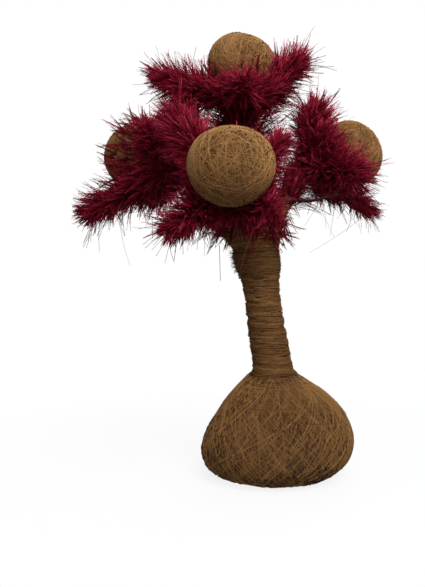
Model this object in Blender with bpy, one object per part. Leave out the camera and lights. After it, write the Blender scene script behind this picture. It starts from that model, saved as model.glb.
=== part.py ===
"""Tabletop tree ornament wound in plant fibre, with four shaggy flowers on wire branches.

Every length is written in millimetres and turned into metres by MM.
X is to the viewer's right, Y is away from the viewer, Z is up, and the origin is the centre
of the flat foot.
"""
import math

import bmesh
import bpy
from mathutils import Matrix, Vector

MM = 0.001
GAP = 0.4               # air kept between neighbouring pieces

# Base: a plaster-clay weight inside a thick wound cover
BASE_SIDES = 28
BASE_COVER = 3.6        # thickness of the wound cover
FOOT_PLUG_R = 21.6      # the weight shows through the cover as a flat disc this big
NECK_BORE_R = 12.6      # the cover's opening round the stick
WEIGHT_TOP = 79.0
SOCKET_R, SOCKET_FLOOR = 8.4, 14.0
BASE_OUTLINE = [        # radius, height, sideways shift of the lumpy dome
    (36.0, 0.0, 0.0), (46.0, 1.4, -1.5), (53.5, 4.4, -3.2), (58.8, 8.4, -3.2),
    (62.6, 13.0, -2.0), (65.6, 19.0, -0.8), (66.8, 27.0, 0.4), (64.4, 40.0, 2.2),
    (58.0, 53.0, 3.6), (50.2, 64.5, 2.9), (40.8, 74.5, 1.4), (30.3, 83.0, -1.3),
    (21.0, 90.5, -3.2),
]

# Trunk
TRUNK_SIDES = 18
STICK_R, STICK_FLOOR, STICK_TOP = 7.2, 15.0, 196.0
TRUNK_BORE_R = 12.4
TRUNK_AXIS = [          # the trunk's leaning centre line
    (0.0, 0.0, 14.0), (0.0, 0.0, 49.0), (-0.2, 0.0, 79.0), (-3.6, 0.0, 95.0),
    (-6.6, 0.0, 113.0), (-11.0, 0.0, 141.0), (-14.6, 0.0, 169.0), (-18.0, 0.0, 197.0),
    (-19.0, 0.0, 205.0),
]
TRUNK_RADIUS = [        # height, radius of the wound trunk
    (91.0, 20.4), (94.0, 18.8), (99.0, 17.6), (113.0, 17.1), (127.0, 16.7),
    (141.0, 16.2), (155.0, 15.9), (169.0, 16.6), (183.0, 17.6), (197.4, 18.2),
]
COLLAR_BOTTOM, COLLAR_TOP, COLLAR_THICK = 179.0, 195.0, 1.4

# Branch wires and what is wound on them
WIRE_R = 1.6
WIRE_RING_R = 9.6       # the wires lie round the stick at this radius
WIRE_TAIL_Z = (141.0, 169.0, 197.0)
SLEEVE_START_Z = 199.0
TAN_SLEEVE_R, TAN_BORE_R = 6.3, 2.6
FUR_SLEEVE_R, FUR_BORE_R = 9.0, 2.6
SLEEVE_SIDES = 12
STEM_STATIONS = 28

# Flowers
BALL_SIDES = 18
BALL_SHELL = 3.0
BALL_HOLE_R = 3.2
PETAL_SIDES = 8
PETAL_STATIONS = 6
PETAL_WIRE_R = 0.9
PETAL_CHANNEL_R = 1.6
PETAL_HALF_WIDTH = [(0.0, 5.4), (0.2, 11.0), (0.5, 15.5), (0.8, 12.5), (1.0, 4.0)]
PETAL_HALF_DEPTH = [(0.0, 4.4), (0.2, 7.2), (0.5, 8.2), (0.8, 7.0), (1.0, 3.0)]
CALYX_BACK = 8.0        # the petal roots sit this far behind the ball
PETAL_ROOT_X = 7.0      # and this far from the flower's axis
PETAL_WIRE_SHARE = 0.78  # share of the petal's length that its wire fills
CALYX_STRAIGHT = 22.0   # the branch is straight over this length behind the ball
WIRE_DEPTH = 6.0        # the branch wire ends this short of the ball's centre
BALL_CLEAR = 9.6        # petal centre line to ball

# centre and axis of the ball, its three radii, how egg-shaped it is, the direction that
# azimuth 0 points in, the roll, the branch route from the trunk's top to the calyx, the share
# of it left bare of burgundy pile, and each petal's reach and tip height over the ball's centre
FLOWERS = {
    "top": {
        "centre": (-31.5, 10.0, 362.5), "axis": (0.03, -0.05, 1.0), "radii": (29.0, 28.0, 25.0),
        "egg": 0.10, "zero": (1.0, 0.0, 0.0), "roll": 0.0, "leave": (0.0, 1.0, 0.0),
        "route": [(-22.0, 13.0, 236.0), (-29.0, 15.0, 283.0)], "bare": 0.22,
        "petals": [(50.0, -2.0), (60.0, -8.0), (69.0, -17.0), (56.0, -26.0)],
    },
    "front": {
        "centre": (-43.0, -93.0, 264.0), "axis": (-0.12, -0.93, 0.32), "radii": (30.6, 33.8, 30.0),
        "egg": -0.07, "zero": (0.0, 0.0, 1.0), "roll": 45.0, "leave": (0.0, -1.0, 0.0),
        "route": [(-23.0, -21.0, 215.0)], "bare": 0.30,
        "petals": [(70.0, -22.0), (66.0, -12.0), (44.0, -14.0), (52.0, -34.0)],
    },
    "left": {
        "centre": (-126.5, 35.0, 284.0), "axis": (-0.90, 0.34, 0.25), "radii": (29.0, 29.0, 28.0),
        "egg": 0.05, "zero": (0.0, 0.0, 1.0), "roll": 30.0, "leave": (-1.0, 0.0, 0.0),
        "route": [(-43.0, 2.0, 215.0), (-64.0, 8.0, 245.0)], "bare": 0.18,
        "petals": [(58.0, -26.0), (58.0, -12.0), (66.0, 12.0), (52.0, -26.0)],
    },
    "right": {
        "centre": (67.5, 34.0, 286.0), "axis": (0.93, 0.12, 0.34), "radii": (30.0, 27.0, 28.0),
        "egg": 0.08, "zero": (0.0, 0.0, 1.0), "roll": 18.0, "leave": (1.0, 0.0, 0.0),
        "route": [(-3.0, 3.0, 223.0), (12.0, 9.0, 251.0)], "bare": 0.48,
        "petals": [(46.0, -26.0), (52.0, -20.0), (58.0, 4.0), (60.0, -14.0)],
    },
}

# A bare twisted-wire spine that sticks out under the right-hand flower
SPUR_ROUTE = [(15.5, -3.0, 242.0), (28.0, -8.0, 241.5), (51.0, -14.0, 247.0)]
SPUR_R = 1.4

COLOURS = {             # base colour, roughness
    "fibre": ((0.33, 0.19, 0.075), 0.85),
    "pile": ((0.14, 0.006, 0.018), 0.80),
    "weight": ((0.45, 0.30, 0.20), 0.90),
    "stick": ((0.30, 0.18, 0.09), 0.80),
    "paper": ((0.55, 0.47, 0.36), 0.90),
    "wire": ((0.10, 0.08, 0.07), 0.45),
}
METAL = {"wire"}


def clear_scene():
    for item in list(bpy.data.objects):
        bpy.data.objects.remove(item, do_unlink=True)


def material(name, kind):
    """Make one node's own Principled material."""
    colour, roughness = COLOURS[kind]
    mat = bpy.data.materials.new(name)
    mat.use_nodes = True
    shader = mat.node_tree.nodes["Principled BSDF"]
    shader.inputs["Base Color"].default_value = (*colour, 1.0)
    shader.inputs["Roughness"].default_value = roughness
    shader.inputs["Metallic"].default_value = 1.0 if kind in METAL else 0.0
    mat.diffuse_color = (*colour, 1.0)
    return mat


def add_object(name, data, kind, location=(0.0, 0.0, 0.0), parent=None, turn=0.0):
    data.materials.append(material(name, kind))
    obj = bpy.data.objects.new(name, data)
    bpy.context.collection.objects.link(obj)
    obj.location = location
    obj.rotation_euler = (0.0, 0.0, turn)
    obj.parent = parent
    return obj


def table(rows, at):
    """Read a value from rows of (position, value), by straight interpolation."""
    for (a, va), (b, vb) in zip(rows, rows[1:]):
        if at <= b:
            return va + (vb - va) * max(0.0, (at - a) / (b - a))
    return rows[-1][1]


def smooth_path(points, count):
    """Catmull-Rom curve through the points, resampled at equal steps."""
    pts = [Vector(p) for p in points]
    ends = [2 * pts[0] - pts[1]] + pts + [2 * pts[-1] - pts[-2]]
    fine = []
    steps = 24
    for p0, p1, p2, p3 in zip(ends, ends[1:], ends[2:], ends[3:]):
        for k in range(steps):
            t = k / steps
            fine.append(0.5 * (2 * p1 + (p2 - p0) * t + (2 * p0 - 5 * p1 + 4 * p2 - p3) * t * t
                               + (3 * p1 - p0 - 3 * p2 + p3) * t ** 3))
    fine.append(pts[-1])
    return resample(fine, count)


def resample(points, count):
    lengths = [0.0]
    for a, b in zip(points, points[1:]):
        lengths.append(lengths[-1] + (b - a).length)
    out = []
    k = 0
    for i in range(count):
        want = lengths[-1] * i / (count - 1)
        while k < len(points) - 2 and lengths[k + 1] < want:
            k += 1
        share = (want - lengths[k]) / (lengths[k + 1] - lengths[k])
        out.append(points[k].lerp(points[k + 1], min(1.0, share)))
    return out


def cut_path(points, start, end):
    """The part of a polyline between two shares of its length, keeping its own corners."""
    last = len(points) - 1
    lo, hi = start * last, end * last
    inner = [points[i] for i in range(len(points)) if lo < i < hi]

    def at(x):
        k = min(int(x), last - 1)
        return points[k].lerp(points[k + 1], x - k)
    return [at(lo)] + inner + [at(hi)]


def path_frames(points):
    """A tangent, and two directions across it that don't twist, at each point."""
    tangents = []
    for i in range(len(points)):
        ahead = points[min(i + 1, len(points) - 1)]
        behind = points[max(i - 1, 0)]
        tangents.append((ahead - behind).normalized())
    side = tangents[0].orthogonal().normalized()
    frames = []
    for tangent in tangents:
        side = (side - tangent * side.dot(tangent)).normalized()
        frames.append((tangent, side, tangent.cross(side)))
    return frames


def ring(centre, across, up, half_a, half_b, sides):
    out = []
    for k in range(sides):
        angle = 2 * math.pi * k / sides
        out.append(centre + across * (half_a * math.cos(angle)) + up * (half_b * math.sin(angle)))
    return out


def path_rings(points, radii, sides):
    rings = []
    for centre, (_, side, up), radius in zip(points, path_frames(points), radii):
        rings.append(ring(centre, side, up, radius, radius, sides))
    return rings


def loft_mesh(name, rings, closed=False, origin=None):
    """Skin a run of equal rings. A closed run meets itself; an open one gets flat caps."""
    start = origin or Vector((0.0, 0.0, 0.0))
    bm = bmesh.new()
    rows = [[bm.verts.new((p - start) * MM) for p in points] for points in rings]
    sides = len(rings[0])
    pairs = list(zip(rows, rows[1:]))
    if closed:
        pairs.append((rows[-1], rows[0]))
    for low, high in pairs:
        for k in range(sides):
            nxt = (k + 1) % sides
            bm.faces.new((low[k], low[nxt], high[nxt], high[k]))
    if not closed:
        bm.faces.new(list(reversed(rows[0])))
        bm.faces.new(rows[-1])
    bmesh.ops.recalc_face_normals(bm, faces=bm.faces)
    mesh = bpy.data.meshes.new(name)
    bm.to_mesh(mesh)
    bm.free()
    return mesh


def loft(name, rings, kind, closed=False, origin=None, parent=None, turn=0.0):
    mesh = loft_mesh(name, rings, closed, origin)
    place = (origin or Vector((0.0, 0.0, 0.0))) * MM
    return add_object(name, mesh, kind, place, parent, turn)


def wire(name, points, radius, parent=None, turn=0.0):
    """A round wire: a curve with a bevel and filled caps."""
    curve = bpy.data.curves.new(name, "CURVE")
    curve.dimensions = "3D"
    curve.bevel_depth = radius * MM
    curve.bevel_resolution = 1
    curve.use_fill_caps = True
    spline = curve.splines.new("POLY")
    spline.points.add(len(points) - 1)
    origin = points[0]
    for slot, point in zip(spline.points, points):
        slot.co = (*((point - origin) * MM), 1.0)
    place = origin * MM
    if turn:
        place = Matrix.Rotation(turn, 4, "Z") @ place
    return add_object(name, curve, "wire", place, parent, turn)


def offset_outline(outline, depth):
    """Move an outline of (radius, height, shift) inwards by depth, square to itself."""
    out = []
    for i, (radius, height, shift) in enumerate(outline):
        before = outline[max(i - 1, 0)]
        after = outline[min(i + 1, len(outline) - 1)]
        run, rise = after[0] - before[0], after[1] - before[1]
        size = math.hypot(run, rise)
        out.append((radius - depth * rise / size, height + depth * run / size, shift))
    return out


def level_ring(radius, height, shift, sides):
    return ring(Vector((shift, 0.0, height)), Vector((1.0, 0.0, 0.0)), Vector((0.0, 1.0, 0.0)),
                radius, radius, sides)


def build_base():
    inner = offset_outline(BASE_OUTLINE, BASE_COVER)
    cover = [level_ring(*row, BASE_SIDES) for row in BASE_OUTLINE]
    neck_r, neck_z, neck_shift = BASE_OUTLINE[-1]
    cover.append(level_ring(NECK_BORE_R, neck_z, neck_shift, BASE_SIDES))
    cover.append(level_ring(NECK_BORE_R, WEIGHT_TOP + 2 * GAP, neck_shift / 2, BASE_SIDES))
    hollow = [row for row in inner[1:] if row[1] < WEIGHT_TOP]
    top_r = table([(row[1], row[0]) for row in inner], WEIGHT_TOP + 2 * GAP)
    cover.append(level_ring(top_r, WEIGHT_TOP + 2 * GAP, neck_shift / 2, BASE_SIDES))
    cover += [level_ring(*row, BASE_SIDES) for row in reversed(hollow)]
    plug_r = FOOT_PLUG_R + GAP
    cover.append(level_ring(plug_r, BASE_COVER, 0.0, BASE_SIDES))
    cover.append(level_ring(plug_r, 0.0, 0.0, BASE_SIDES))
    loft("base_winding", cover, "fibre", closed=True)

    core = offset_outline(BASE_OUTLINE, BASE_COVER + GAP)
    rings = [level_ring(FOOT_PLUG_R, 0.0, 0.0, BASE_SIDES),
             level_ring(FOOT_PLUG_R, BASE_COVER + GAP, 0.0, BASE_SIDES)]
    rings += [level_ring(*row, BASE_SIDES) for row in core[1:] if row[1] < WEIGHT_TOP - GAP]
    top_r = table([(row[1], row[0]) for row in core], WEIGHT_TOP)
    rings.append(level_ring(top_r, WEIGHT_TOP, neck_shift / 2, BASE_SIDES))
    rings.append(level_ring(SOCKET_R, WEIGHT_TOP, 0.0, BASE_SIDES))
    rings.append(level_ring(SOCKET_R, SOCKET_FLOOR, 0.0, BASE_SIDES))
    loft("base_weight", rings, "weight")


def trunk_point(height):
    rows_x = [(p[2], p[0]) for p in TRUNK_AXIS]
    return Vector((table(rows_x, height), 0.0, height))


def trunk_tube(heights, grow=0.0):
    points = [trunk_point(z) for z in heights]
    radii = [table(TRUNK_RADIUS, z) + grow for z in heights]
    return points, radii


def level_rings(points, radii):
    """Flat rings for the leaning trunk, so that its ends are level."""
    return [level_ring(radius, p.z, p.x, TRUNK_SIDES) for p, radius in zip(points, radii)]


def build_trunk():
    heights = [STICK_FLOOR] + [row[2] for row in TRUNK_AXIS[1:-2]] + [STICK_TOP]
    points = [trunk_point(z) for z in heights]
    loft("trunk_stick", level_rings(points, [STICK_R] * len(points)), "stick", origin=points[0])

    heights = [row[0] for row in TRUNK_RADIUS]
    points, radii = trunk_tube(heights)
    outside = level_rings(points, radii)
    inside = level_rings(points, [TRUNK_BORE_R] * len(points))
    loft("trunk_winding", outside + inside[::-1], "fibre", closed=True, origin=points[0])

    step = (COLLAR_TOP - COLLAR_BOTTOM) / 4
    heights = [COLLAR_BOTTOM + step * k for k in range(5)]
    points, inner = trunk_tube(heights, 2 * GAP)
    bulge = [0.3, 0.8, 1.0, 0.9, 0.4]
    outer = [r + COLLAR_THICK * b for r, b in zip(inner, bulge)]
    outside = level_rings(points, outer)
    inside = level_rings(points, inner)
    loft("collar_winding", outside + inside[::-1], "fibre", closed=True, origin=points[0])


def flower_empty(name, spec):
    """An empty at the ball's centre, +Z out along the flower, +X where azimuth 0 points."""
    axis = Vector(spec["axis"]).normalized()
    zero = Vector(spec["zero"])
    across = (zero - axis * zero.dot(axis)).normalized()
    turn = Matrix((across, axis.cross(across), axis)).transposed().to_4x4()
    turn = turn @ Matrix.Rotation(math.radians(spec["roll"]), 4, "Z")
    empty = bpy.data.objects.new("flower_" + name, None)
    bpy.context.collection.objects.link(empty)
    empty.matrix_world = Matrix.Translation(Vector(spec["centre"]) * MM) @ turn
    return empty


def ball_rings(radii, egg, shrink, hole_r, count):
    """Rings of an egg-shaped ball from the hole at its back to its front pole."""
    a, b, c = (r - shrink for r in radii)
    mean = (a + b) / 2
    start = math.asin(hole_r / mean)
    rings = []
    for i in range(count):
        angle = start + (math.pi - start) * (i + (0.0 if i < count - 1 else -0.55)) / (count - 1)
        flat, height = math.sin(angle), -math.cos(angle)
        row = []
        for k in range(BALL_SIDES):
            turn = 2 * math.pi * k / BALL_SIDES
            x = a * flat * math.cos(turn)
            narrow = 1.0 - egg * x / a
            row.append(Vector((x, b * flat * math.sin(turn) * narrow, c * height * narrow)))
        rings.append(row)
    return rings


def build_ball(name, spec, empty):
    radii, egg = spec["radii"], spec["egg"]
    turn = -math.radians(spec["roll"])
    outer = ball_rings(radii, egg, 0.0, BALL_HOLE_R, 10)
    inner = ball_rings(radii, egg, BALL_SHELL, BALL_HOLE_R, 8)
    loft("ball_winding_" + name, inner[::-1] + outer, "fibre", parent=empty, turn=turn)
    core = ball_rings(radii, egg, BALL_SHELL + 2 * GAP, BALL_HOLE_R, 8)
    channel = ring(Vector((0.0, 0.0, -WIRE_DEPTH / 2)), Vector((1.0, 0.0, 0.0)),
                   Vector((0.0, 1.0, 0.0)), BALL_HOLE_R, BALL_HOLE_R, BALL_SIDES)
    loft("ball_core_" + name, [channel] + core, "paper", parent=empty, turn=turn)


def ball_reach(spec):
    """How far behind the ball's centre its back is."""
    return spec["radii"][2]


def petal_spine(spec, reach, rise):
    """The petal's centre line in the flower's own X-Z plane, kept clear of the ball."""
    back = ball_reach(spec) + CALYX_BACK
    points = [(PETAL_ROOT_X, 0.0, -back), (0.33 * reach, 0.0, -back + 0.22 * (rise + back)),
              (0.68 * reach, 0.0, -back + 0.66 * (rise + back)), (reach, 0.0, rise)]
    line = smooth_path(points, PETAL_STATIONS + 1)
    wide, deep = max(spec["radii"][:2]), spec["radii"][2]
    for point in line[1:]:
        near = math.hypot(point.x / (wide + BALL_CLEAR), point.z / (deep + BALL_CLEAR))
        if near < 1.0:
            point *= 1.0 / near
    return line


def build_petal(name, number, spec, empty):
    reach, rise = spec["petals"][number]
    line = petal_spine(spec, reach, rise)
    sideways = Vector((0.0, 1.0, 0.0))
    outer, channel = [], []
    for i, (tangent, _, _) in enumerate(path_frames(line)):
        share = i / PETAL_STATIONS
        up = tangent.cross(sideways)
        outer.append(ring(line[i], sideways, up, table(PETAL_HALF_WIDTH, share),
                          table(PETAL_HALF_DEPTH, share), PETAL_SIDES))
        channel.append(ring(line[i], sideways, up, PETAL_CHANNEL_R, PETAL_CHANNEL_R, PETAL_SIDES))
    turn = math.radians(90.0 * number)
    label = "%s_%d" % (name, number + 1)
    loft("petal_" + label, channel[-2::-1] + outer, "pile", parent=empty, turn=turn)
    root = Vector((WIRE_R + 2 * GAP + PETAL_WIRE_R, 0.0, line[0].z))
    spine = [root] + cut_path(line, 0.0, PETAL_WIRE_SHARE)
    wire("petal_wire_" + label, spine, PETAL_WIRE_R, parent=empty, turn=turn)


def stem_path(spec):
    """The branch wire's route: up inside the trunk, out at its top, into the ball."""
    leave = Vector(spec["leave"])
    tail = [trunk_point(z) + leave * WIRE_RING_R for z in WIRE_TAIL_Z]
    axis = Vector(spec["axis"]).normalized()
    centre = Vector(spec["centre"])
    calyx = centre - axis * (ball_reach(spec) + CALYX_STRAIGHT)
    straight = centre - axis * (ball_reach(spec) + 2.0)
    outside = smooth_path(tail[-1:] + [Vector(p) for p in spec["route"]] + [calyx, straight],
                          STEM_STATIONS)
    return tail[:-1], outside, centre - axis * WIRE_DEPTH


def share_at_height(points, height):
    """How far along its points a rising line first reaches a height."""
    for i, (low, high) in enumerate(zip(points, points[1:])):
        if high.z >= height:
            return (i + (height - low.z) / (high.z - low.z)) / (len(points) - 1)
    return 1.0


def sleeve(name, points, outer_r, bore_r, kind):
    """A wound sleeve on a wire, open at both ends and rounded off at each."""
    radii = [outer_r] * len(points)
    radii[0] = radii[-1] = 0.8 * outer_r
    outside = path_rings(points, radii, SLEEVE_SIDES)
    inside = path_rings(points, [bore_r] * len(points), SLEEVE_SIDES)
    for point in outside[0] + inside[0]:
        point.z = max(point.z, TRUNK_RADIUS[-1][0] + GAP)
    loft(name, outside + inside[::-1], kind, closed=True, origin=points[0])


def build_stem(name, spec):
    tail, outside, tip = stem_path(spec)
    wire("stem_wire_" + name, tail + outside[::2] + [tip], WIRE_R)
    start = share_at_height(outside, SLEEVE_START_Z)
    total = sum((b - a).length for a, b in zip(outside, outside[1:]))
    end = 1.0 - (CALYX_BACK + 4.0) / total
    split = start + (end - start) * spec["bare"]
    tan_line = resample(cut_path(outside, start, split), 5)
    fur_line = resample(cut_path(outside, split + 1.5 / total, end), 7)
    sleeve("stem_winding_" + name, tan_line, TAN_SLEEVE_R, TAN_BORE_R, "fibre")
    sleeve("stem_pile_" + name, fur_line, FUR_SLEEVE_R, FUR_BORE_R, "pile")


def build_flower(name, spec):
    empty = flower_empty(name, spec)
    build_ball(name, spec, empty)
    for number in range(len(spec["petals"])):
        build_petal(name, number, spec, empty)
    build_stem(name, spec)


def main():
    clear_scene()
    build_base()
    build_trunk()
    for name, spec in FLOWERS.items():
        build_flower(name, spec)
    wire("bare_spine", smooth_path(SPUR_ROUTE, 6), SPUR_R)


main()
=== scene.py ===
"""The looks of the wound fibre tree ornament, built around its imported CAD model.

Every fibre is geometry: a thin closed tube laid on the surface of the CAD solid that it stands
for. Lengths are in millimetres and turned into metres by MM.
"""
import math

import bpy
import numpy as np
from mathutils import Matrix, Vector


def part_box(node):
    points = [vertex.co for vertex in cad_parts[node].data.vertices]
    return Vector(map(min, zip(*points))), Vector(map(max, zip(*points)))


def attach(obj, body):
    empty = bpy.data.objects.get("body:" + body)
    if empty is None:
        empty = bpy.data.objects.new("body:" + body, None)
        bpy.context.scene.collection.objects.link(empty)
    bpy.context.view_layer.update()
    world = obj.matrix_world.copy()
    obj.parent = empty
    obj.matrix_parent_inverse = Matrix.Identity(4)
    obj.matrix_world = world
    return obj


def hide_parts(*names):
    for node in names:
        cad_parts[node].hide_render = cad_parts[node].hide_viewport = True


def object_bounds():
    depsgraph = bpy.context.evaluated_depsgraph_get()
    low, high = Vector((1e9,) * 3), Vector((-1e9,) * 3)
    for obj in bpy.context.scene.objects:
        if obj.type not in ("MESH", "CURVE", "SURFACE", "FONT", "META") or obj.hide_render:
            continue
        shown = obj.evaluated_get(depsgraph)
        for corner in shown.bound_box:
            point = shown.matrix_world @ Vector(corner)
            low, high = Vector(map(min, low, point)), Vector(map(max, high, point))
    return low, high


norm = np.linalg.norm
TURN = 2 * np.pi
MM = 0.001
SEED = 4711

FLOWERS = ("top", "front", "left", "right")
PETALS = (1, 2, 3, 4)

# Camera and surroundings, in metres
CAMERA_AT = (-0.057, -0.75, 0.211)
CAMERA_AIM = (-0.057, 0.0, 0.161)
FRAME_HEIGHT = 0.515  # metres that the picture's height spans at the aim point
FLOOR_FADE = (0.10, 0.40)  # metres from the foot over which the floor's shadow dies away
FLOOR_HALF = 3000.0  # half of the floor's width, in millimetres
FLOOR_SHOWS = 0.14  # how much of the floor is seen over the white surround
WORLD_LIGHT = 0.27
# lights: place, aim, width, and power in watts
LIGHTS = {"key": ((0.30, -0.95, 1.10), (-0.03, 0.0, 0.2), 0.8, 20.0),
          "top": ((-0.15, 0.15, 1.30), (-0.03, 0.0, 0.2), 1.0, 2.6),
          "back": ((0.35, 1.2, 0.9), (-0.03, 0.0, 0.2), 1.0, 6.5),
          "fill": ((-0.25, -1.25, 0.35), (-0.03, 0.0, 0.12), 1.1, 3.0)}

# Fibres, in millimetres
THREAD_R = 0.22  # radius of a winding thread
HAIR_R, HAIR_TIP_R = 0.25, 0.18  # radius of a pile hair at its root and its tip
BED_DEPTH = 1.1  # packed fibre, dark as painted shade, lies this far below the threads
BED_ROWS, BED_SIDES = 60, 72
TUBE_SIDES = 3  # threads and hairs are three-sided
ANY_ANGLE = 6.28  # a random start round a winding lies between 0 and this, in radians
ONE_LAP = 6.283  # radians round a winding that is laid out flat
ASKEW = (0.3, 1.0, 0.1)  # a direction that no branch runs along
SPARE_SHARE, SPARE = 0.03, 9.0  # pile may stand this far outside the CAD model's box


def rng(name):
    """One random stream for each piece, so that a change to one leaves the others alone."""
    total = sum(ord(letter) * (i + 1) for i, letter in enumerate(name))
    return np.random.default_rng(SEED + total)


# ---- frame helpers

def node_points(name):
    """A CAD node's vertices, in millimetres."""
    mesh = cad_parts[name].data
    out = np.empty(len(mesh.vertices) * 3)
    mesh.vertices.foreach_get("co", out)
    return out.reshape(-1, 3) / MM


def box_centre(name):
    low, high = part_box(name)
    return (np.array(low) + np.array(high)) / 2 / MM


def unit(v):
    return v / np.maximum(norm(v, axis=-1, keepdims=True), 1e-9)


def run_of(steps):
    return np.concatenate([[0.0], np.cumsum(steps)])


def resample(points, count):
    """Points at equal steps along a polyline."""
    at = run_of(norm(np.diff(points, axis=0), axis=1))
    want = np.linspace(0.0, at[-1], count)
    return np.stack([np.interp(want, at, points[:, k]) for k in range(3)], axis=1)


def smoothed(points, count):
    """A Catmull-Rom curve through a few points."""
    ends = np.vstack([2 * points[0] - points[1], points, 2 * points[-1] - points[-2]])
    fine = []
    for p0, p1, p2, p3 in zip(ends, ends[1:], ends[2:], ends[3:]):
        for t in np.linspace(0.0, 1.0, 12, endpoint=False):
            fine.append(0.5 * (2 * p1 + (p2 - p0) * t + (2 * p0 - 5 * p1 + 4 * p2 - p3) * t * t
                               + (3 * p1 - p0 - 3 * p2 + p3) * t ** 3))
    fine.append(points[-1])
    return resample(np.array(fine), count)


def spins(count):
    """Angles evenly round a full turn."""
    return np.linspace(0, TURN, count, endpoint=False)[None, :]


def wire_line(name, start, gap):
    """A wire node's centre line: its rings of vertices, chained from the end nearest start."""
    left = list(node_points(name))
    groups = []
    while left:
        seed = left.pop()
        group, rest = [seed], []
        for p in left:
            (group if norm(p - seed) < gap else rest).append(p)
        left = rest
        groups.append(np.mean(group, axis=0))
    line = [start]
    while groups:
        nearest = min(range(len(groups)), key=lambda k: norm(groups[k] - line[-1]))
        line.append(groups.pop(nearest))
    return np.array(line[1:])


# ---- mesh building

def linked(name, data):
    obj = bpy.data.objects.new(name, data)
    bpy.context.collection.objects.link(obj)
    return obj


def new_object(name, mesh, kind, *nodes):
    """A piece of one kind of material, which takes the place of some of the CAD nodes."""
    mesh.materials.append(mats[kind])
    obj = linked(name, mesh)
    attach(obj, "root")
    if nodes:
        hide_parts(*nodes)


def lay_tubes(kind, name, paths, radii, shade, side, *nodes):
    """Threads or hairs as one piece: closed tubes along many paths at once.

    paths is (n, k, 3) in millimetres, radii and shade are (n, k) or spread out to it, and
    side is a direction across each path point, or None.
    """
    n, k, _ = paths.shape
    sides = TUBE_SIDES
    radii = np.broadcast_to(radii, (n, k))
    shade = np.broadcast_to(shade, (n, k))
    tangent = np.empty_like(paths)
    tangent[:, 1:-1] = paths[:, 2:] - paths[:, :-2]
    tangent[:, 0] = paths[:, 1] - paths[:, 0]
    tangent[:, -1] = paths[:, -1] - paths[:, -2]
    tangent = unit(tangent)
    if side is None:
        lean = unit(paths[:, -1] - paths[:, 0])
        away = np.zeros_like(lean)
        away[np.arange(n), np.abs(lean).argmin(axis=1)] = 1.0
        side = np.broadcast_to(unit(np.cross(lean, away))[:, None, :], paths.shape)
    side = unit(side - tangent * (side * tangent).sum(-1, keepdims=True))
    up = np.cross(tangent, side)
    angle = TURN * np.arange(sides) / sides
    ring = (side[:, :, None, :] * np.cos(angle)[None, None, :, None]
            + up[:, :, None, :] * np.sin(angle)[None, None, :, None])
    verts = paths[:, :, None, :] + ring * radii[:, :, None, None]

    index = np.arange(n * k * sides).reshape(n, k, sides)
    nxt = np.roll(index, -1, axis=2)
    quads = np.stack([index[:, :-1], nxt[:, :-1], nxt[:, 1:], index[:, 1:]], axis=-1)
    quads = quads.reshape(-1, 4)
    caps = np.concatenate([index[:, 0, ::-1], index[:, -1]])
    mesh = mesh_from(name, verts.reshape(-1, 3), quads, caps)
    layer = mesh.attributes.new("shade", "FLOAT", "POINT")
    values = np.clip(np.repeat(shade.reshape(-1), sides), 0, 1)
    layer.data.foreach_set("value", values.astype(np.float32))
    pack_uv(mesh, n, k, sides, np.concatenate([quads.ravel(), caps.ravel()]))
    new_object(name, mesh, kind, *nodes)


def lay_threads(name, r, paths, side, shade, spread, thick, *nodes):
    """Winding threads as one piece: mean shades and their spread, and a range of thickness."""
    shade = shade + r.normal(0, spread, (len(paths), 1))
    size = THREAD_R * r.uniform(*thick, (len(paths), 1))
    lay_tubes("fibre", name, paths, size, shade, side, *nodes)


def mesh_from(name, verts, quads, caps=None):
    """A mesh from vertices in millimetres, quads, and rows of end caps."""
    mesh = bpy.data.meshes.new(name)
    mesh.vertices.add(len(verts))
    mesh.vertices.foreach_set("co", (verts * MM).ravel())
    loops = quads.ravel()
    starts = np.arange(len(quads)) * 4
    if caps is not None:
        cap_starts = len(loops) + np.arange(len(caps)) * caps.shape[1]
        loops = np.concatenate([loops, caps.ravel()])
        starts = np.concatenate([starts, cap_starts])
    mesh.loops.add(len(loops))
    mesh.loops.foreach_set("vertex_index", loops.astype(np.int32))
    mesh.polygons.add(len(starts))
    mesh.polygons.foreach_set("loop_start", starts.astype(np.int32))
    mesh.polygons.foreach_set("use_smooth", np.ones(len(starts), dtype=bool))
    mesh.update(calc_edges=True)
    return mesh


def pack_uv(mesh, n, k, sides, loops):
    """Give each tube one small cell of the bake map."""
    grid = math.ceil(math.sqrt(n))
    cell = 1.0 / grid
    tube, rest = np.divmod(loops, k * sides)
    along, around = np.divmod(rest, sides)
    u = ((tube % grid) + 0.1 + 0.8 * along / (k - 1)) * cell
    v = ((tube // grid) + 0.1 + 0.8 * around / (sides - 1)) * cell
    layer = mesh.uv_layers.new(name="OFBake")
    layer.data.foreach_set("uv", np.stack([u, v], axis=-1).ravel().astype(np.float32))


def lay_skin(kind, name, rings, *nodes):
    """A closed surface as one piece, from a run of equal rings, (m, s, 3) in millimetres."""
    m, s, _ = rings.shape
    index = np.arange(m * s).reshape(m, s)
    nxt = np.roll(index, -1, axis=1)
    quads = np.stack([index[:-1], nxt[:-1], nxt[1:], index[1:]], axis=-1).reshape(-1, 4)
    caps = np.stack([index[0, ::-1], index[-1]])
    new_object(name, mesh_from(name, rings.reshape(-1, 3), quads, caps), kind, *nodes)


# ---- materials

# the CAD nodes that stay as they are, by how their names start, and what they are made of
HIDDEN = (("petal_wire", "wire"), ("stem_wire", "wire"), ("bare_spine", "wire"),
          ("ball_core", "paper"), ("base_weight", "weight"), ("trunk_stick", "stick"))


def node_material(name, roughness, specular=0.3):
    mat = bpy.data.materials.new(name)
    mat.use_nodes = True
    nodes, links = mat.node_tree.nodes, mat.node_tree.links
    shader = nodes["Principled BSDF"]
    shader.inputs["Roughness"].default_value = roughness
    shader.inputs["Specular IOR Level"].default_value = specular
    return mat, nodes, links, shader


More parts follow.
